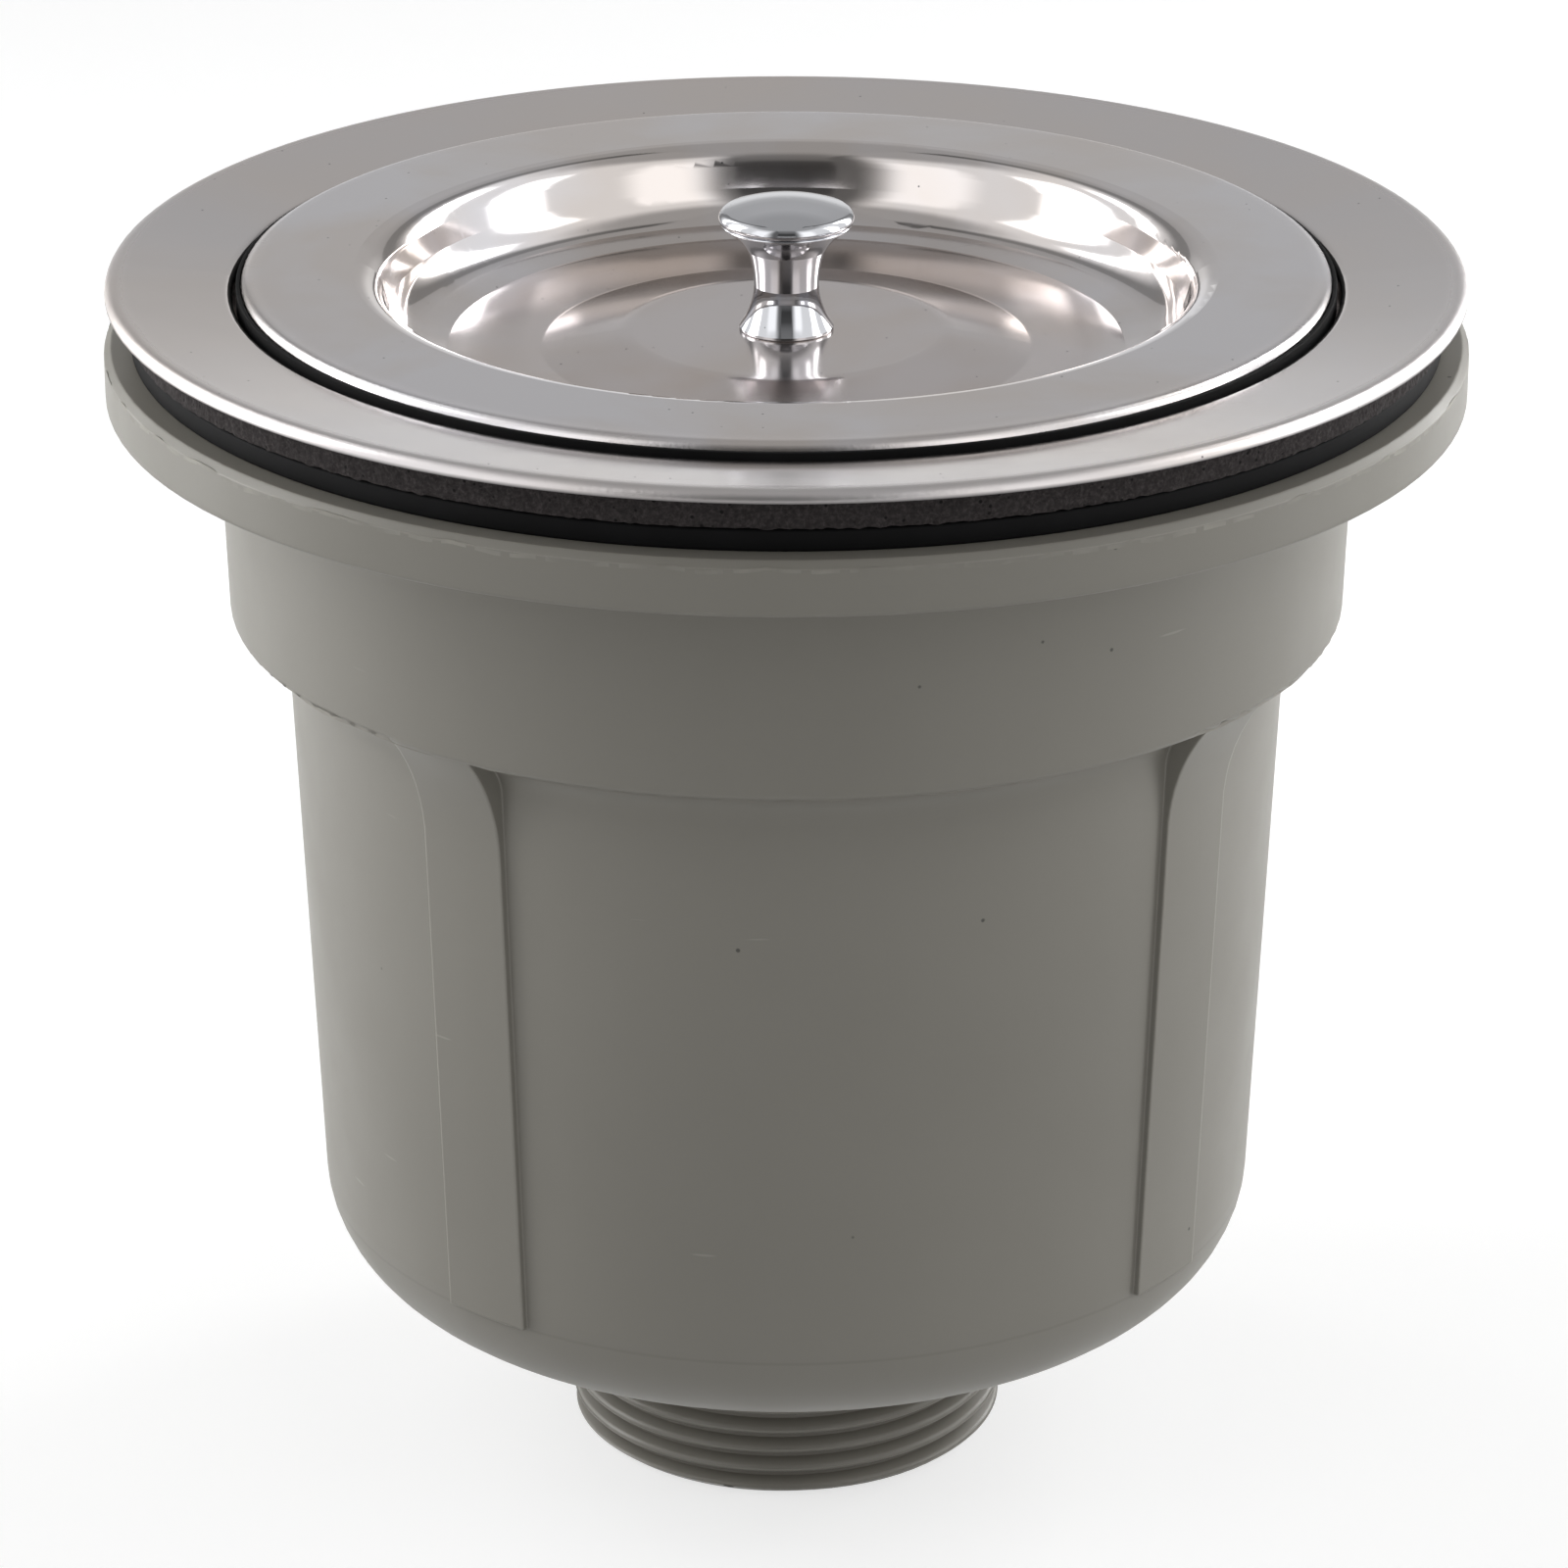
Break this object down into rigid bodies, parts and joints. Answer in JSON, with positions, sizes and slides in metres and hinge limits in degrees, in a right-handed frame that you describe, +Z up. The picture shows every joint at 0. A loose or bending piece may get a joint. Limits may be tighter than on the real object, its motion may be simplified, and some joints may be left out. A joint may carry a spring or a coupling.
{
  "type": "sink waste",
  "caption": "Kitchen sink waste: steel flange, dished lid with a turned knob, perforated basket and moulded cup with a threaded spout.",
  "frame": {"origin": "centre of the spout's end face, which is the lowest face of the part", "axes": "+Z up along the axis of the cup, the flange and the knob; -Y towards the picture's camera; the basket's handle turns about an axis along X"},
  "size_m": [0.1406, 0.1406, 0.1382],
  "materials": {
    "cup_plastic": "satin moulded polypropylene, warm grey",
    "flange_steel": "smooth stainless steel",
    "lid_steel": "polished stainless steel",
    "knob_chrome": "bright chrome plating",
    "gasket_foam": "closed-cell foam, dark grey with pale specks",
    "gasket_rubber": "smooth black rubber",
    "basket_steel": "satin stainless steel",
    "fastener_steel": "plain stainless steel"
  },
  "bodies": {
    "root": {"body": "cup_plastic", "flange": "flange_steel", "foam_gasket": "gasket_foam", "rubber_gasket": "gasket_rubber", "lid": "lid_steel", "lid_seal_ring": "gasket_rubber", "knob": "knob_chrome", "knob_screw": "fastener_steel", "knob_washer": "fastener_steel", "basket": "basket_steel", "basket_handle": "fastener_steel", "handle_lug_right": "basket_steel", "handle_lug_left": "basket_steel"}
  },
  "joints": []
}
